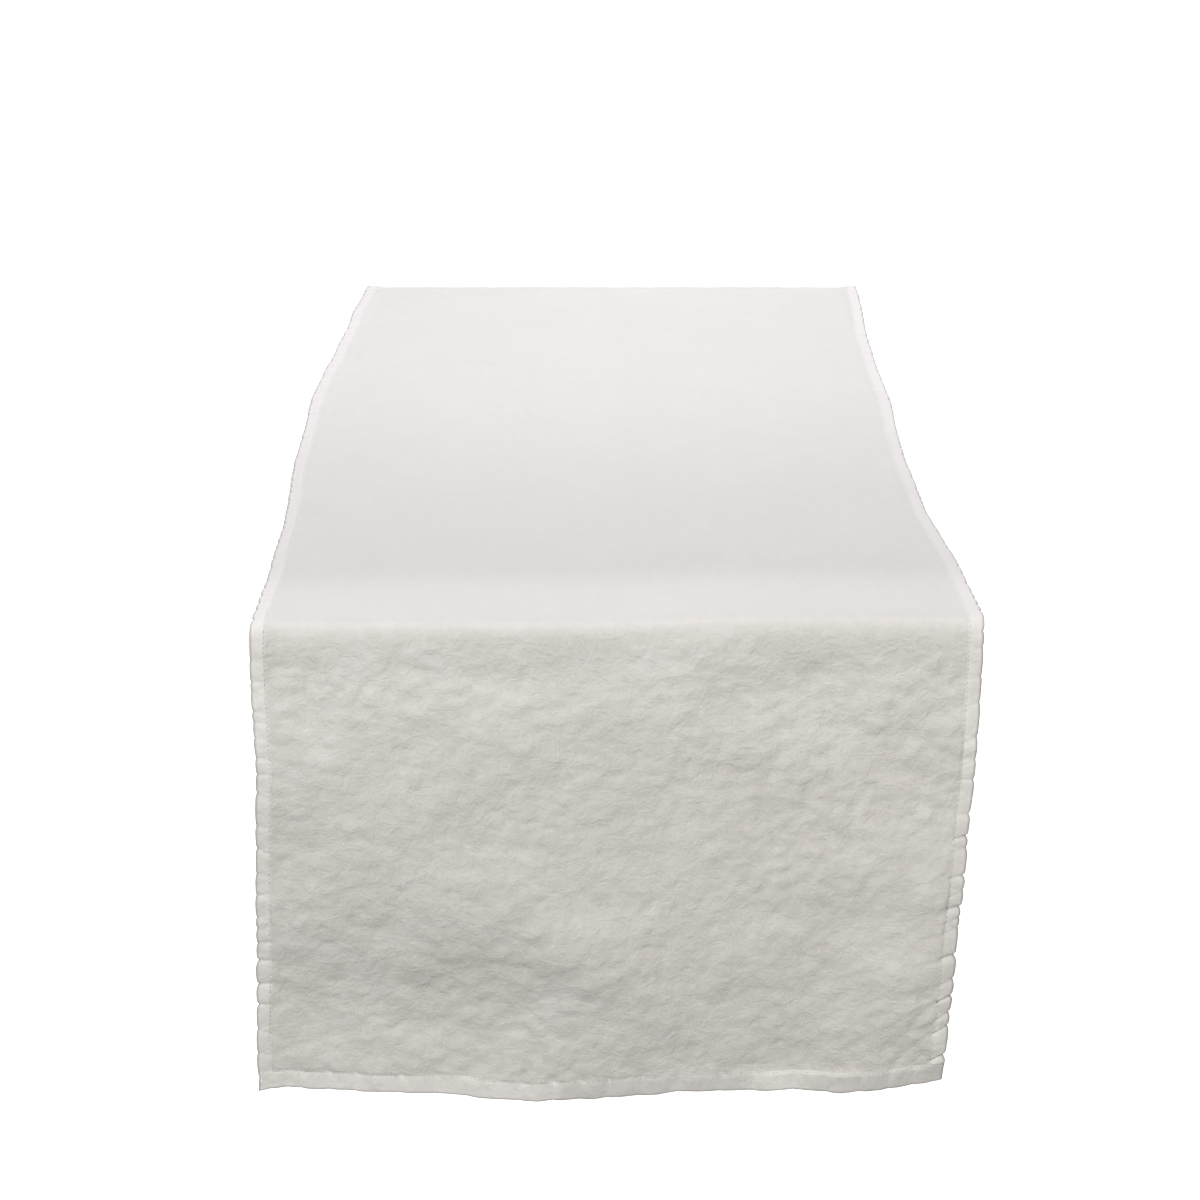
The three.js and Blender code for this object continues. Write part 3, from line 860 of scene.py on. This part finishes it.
# ------------------------------------------------------------------ pieces --
LAP = 0.5        # a hem laps its panel by this much at the stitch line
for end, side in (("front", -1), ("rear", 1)):
    half = Half(side)

    t_rows = trimmed(rows((0, 396, 2.25), (396, 452, 1.1), (452, LENGTH - END_HEM + LAP, 1.95)), 3)
    u_rows = trimmed(rows((-HALF_W + HEM - LAP, HALF_W - HEM + LAP, 2.05)), 3)
    panel = shell(f"{end}_cloth_panel", half, u_rows, t_rows, step=3)
    made = [(panel, cloth_mat, "linen", [
        "centre_panel", f"{end}_fold_panel", f"{end}_drop_panel"])]

    across = np.array([0, 0.35, 0.8, 1.3, 1.8, 2.4, 3.2, 4.2, 5.2, 6.2, 7.2, 8.0, 8.6, 9.1, 9.5, 9.78, 9.94, 10.0]) * HEM / 10.0
    t_hem = rows((0, 396, 1.25), (396, 452, 0.9), (452, LENGTH - END_HEM, 0.9))
    for tag, s in (("left", -1), ("right", 1)):
        u_hem = np.sort(s * (HALF_W - HEM + across))
        o = shell(f"{end}_side_hem_{tag}", half, u_hem, t_hem, closed=("lo_u",) if s < 0 else ("hi_u",))
        made.append((o, hem_mat[tag], "linen_hem", [
            f"centre_hem_{tag}", f"{end}_fold_hem_{tag}", f"{end}_drop_hem_{tag}"]))
    t_end = LENGTH - END_HEM + across * END_HEM / HEM
    u_end = rows((-HALF_W + HEM, HALF_W - HEM, 0.9))
    o = shell(f"{end}_end_hem_roll", half, u_end, t_end, closed=("hi_t",))
    made.append((o, end_mat, "linen_hem", [f"{end}_end_hem"]))
    t_corner = LENGTH - END_HEM + np.sort(np.unique(np.concatenate([across * END_HEM / HEM, np.arange(0.6, 12.4, 0.6)])))
    for tag, s in (("left", -1), ("right", 1)):
        u_c = np.sort(s * (HALF_W - HEM + np.sort(np.unique(np.concatenate([across, np.arange(0.5, 9.0, 0.5)])))))
        o = shell(f"{end}_mitred_corner_{tag}", half, u_c, t_corner,
                  closed=("lo_u", "hi_t") if s < 0 else ("hi_u", "hi_t"))
        made.append((o, end_mat, "linen_hem", [f"{end}_corner_{tag}"]))

    turn_u, turn_t = HALF_W - HEM + 1.3, LENGTH - END_HEM + 1.3
    for tag, s in (("left", -1), ("right", 1)):
        line = [(s * turn_u, 0.0), (s * turn_u, turn_t)]
        for word, skin in (("needle", 1.0), ("bobbin", 0.0)):
            o = stitches(f"{end}_{word}_thread_{tag}", half, line, 3.1, skin, 71 + s + int(10 * skin))
            made.append((o, sewing_mat, "thread", [
                f"centre_thread_{tag}", f"{end}_fold_thread_{tag}", f"{end}_drop_thread_{tag}"]))
    line = [(-turn_u, turn_t), (turn_u, turn_t)]
    for word, skin in (("needle", 1.0), ("bobbin", 0.0)):
        o = stitches(f"{end}_{word}_thread_end", half, line, 3.1, skin, 91 + int(10 * skin))
        made.append((o, sewing_mat, "thread", [f"{end}_end_thread"]))

    for o, mat, slot_name, stood in made:
        o.data.materials.append(mat)
        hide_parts(*stood)
        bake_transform(o)


# ------------------------------------------------------------ floor, light --
def make_stage():
    mesh = bpy.data.meshes.new("floor")
    s = 40.0
    mesh.from_pydata([(-s, -s, 0), (s, -s, 0), (s, s, 0), (-s, s, 0)], [], [(0, 1, 2, 3)])
    o = bpy.data.objects.new("floor", mesh)
    bpy.context.scene.collection.objects.link(o)
    o.location = (0, 0, -0.75)
    m = bpy.data.materials.new("floor_white")
    m.use_nodes = True
    b = m.node_tree.nodes["Principled BSDF"]
    b.inputs["Base Color"].default_value = (0.9, 0.9, 0.9, 1)
    b.inputs["Roughness"].default_value = 1.0
    b.inputs["Emission Color"].default_value = (1, 1, 1, 1)
    b.inputs["Emission Strength"].default_value = 1.0
    mesh.materials.append(m)
    o.visible_diffuse = False
    o.visible_glossy = False


def area(name, at, to, size, power, colour):
    d = bpy.data.lights.new(name, "AREA")
    d.shape = "RECTANGLE"
    d.size, d.size_y = size
    d.energy = power
    d.color = colour
    o = bpy.data.objects.new(name, d)
    bpy.context.scene.collection.objects.link(o)
    o.location = at
    o.rotation_euler = (Vector(to) - Vector(at)).to_track_quat("-Z", "Y").to_euler()
    o.visible_camera = False
    return o


def spot(name, at, to, cone, power, colour, radius, wide=1.0):
    """A round beam; wide stretches its cone along x."""
    d = bpy.data.lights.new(name, "SPOT")
    d.spot_size, d.spot_blend, d.shadow_soft_size = math.radians(cone), 1.0, radius
    d.energy = power
    d.color = colour
    o = bpy.data.objects.new(name, d)
    bpy.context.scene.collection.objects.link(o)
    o.location = at
    o.rotation_euler = (Vector(to) - Vector(at)).to_track_quat("-Z", "Y").to_euler()
    o.scale = (wide, 1.0, 1.0)
    return o


def make_light():
    w = bpy.data.worlds.new("studio")
    bpy.context.scene.world = w
    w.use_nodes = True
    nt = w.node_tree
    nt.nodes.clear()
    out = nt.nodes.new("ShaderNodeOutputWorld")
    mix = nt.nodes.new("ShaderNodeMixShader")
    path = nt.nodes.new("ShaderNodeLightPath")
    seen = nt.nodes.new("ShaderNodeBackground")
    seen.inputs[0].default_value = (1, 1, 1, 1)
    seen.inputs[1].default_value = 1.0
    # a white room: the light off the floor is stronger than the light from above
    lit = nt.nodes.new("ShaderNodeBackground")
    lit.inputs[0].default_value = (1.0, 0.99, 0.97, 1)
    where = nt.nodes.new("ShaderNodeTexCoord")
    sep = nt.nodes.new("ShaderNodeSeparateXYZ")
    nt.links.new(where.outputs["Generated"], sep.inputs[0])
    ramp = nt.nodes.new("ShaderNodeMapRange")
    ramp.interpolation_type = "SMOOTHSTEP"
    ramp.inputs["From Min"].default_value = -0.5
    ramp.inputs["From Max"].default_value = 0.5
    ramp.inputs["To Min"].default_value = 0.28
    ramp.inputs["To Max"].default_value = 0.08
    nt.links.new(sep.outputs[2], ramp.inputs["Value"])
    nt.links.new(ramp.outputs[0], lit.inputs[1])
    nt.links.new(path.outputs["Is Camera Ray"], mix.inputs[0])
    nt.links.new(lit.outputs[0], mix.inputs[1])
    nt.links.new(seen.outputs[0], mix.inputs[2])
    nt.links.new(mix.outputs[0], out.inputs[0])
    area("key_front", (-1.0, -3.37, 2.71), (0, -0.43, -0.1), (1.6, 1.2), 124.0, (1.0, 1.0, 0.995))
    area("key_rear", (0.7, 2.9, 0.75), (0, 0.43, -0.1), (1.6, 1.0), 40.0, (1.0, 1.0, 0.985))
    area("fill_under", (0.0, 0.0, -0.70), (0.0, 0.0, 0.0), (0.7, 0.5), 2.4, (1.0, 0.99, 0.97))
    area("key_top", (-0.04, 0.42, 1.25), (-0.02, 0.34, 0), (1.4, 0.5), 8.8, (1.0, 0.981, 1.10))
    area("fill_low", (1.3, -2.1, -0.35), (0, -0.43, -0.15), (1.2, 0.8), 4.9, (1.0, 0.97, 0.86))
    spot("pool_top", (0.0, 0.21, 1.6), (0.0, 0.21, 0.0), 33.0, 9.4, (1.0, 0.98, 1.02), 0.12)
    # two flat beams along the fold, from above and from in front of it
    spot("band_over", (0.0, -0.30, 1.6), (0, -0.405, 0), 5.0, 7.4, (0.99, 0.985, 1.05), 0.008, 10.0)
    spot("band_front", (0.0, -1.743, 1.57), (0, -0.415, 0), 4.0, 10.0, (0.99, 0.985, 1.05), 0.008, 10.0)


make_stage()
make_light()
bpy.context.scene.view_settings.view_transform = "Standard"
bpy.context.scene.view_settings.look = "None"

bpy.context.view_layer.update()
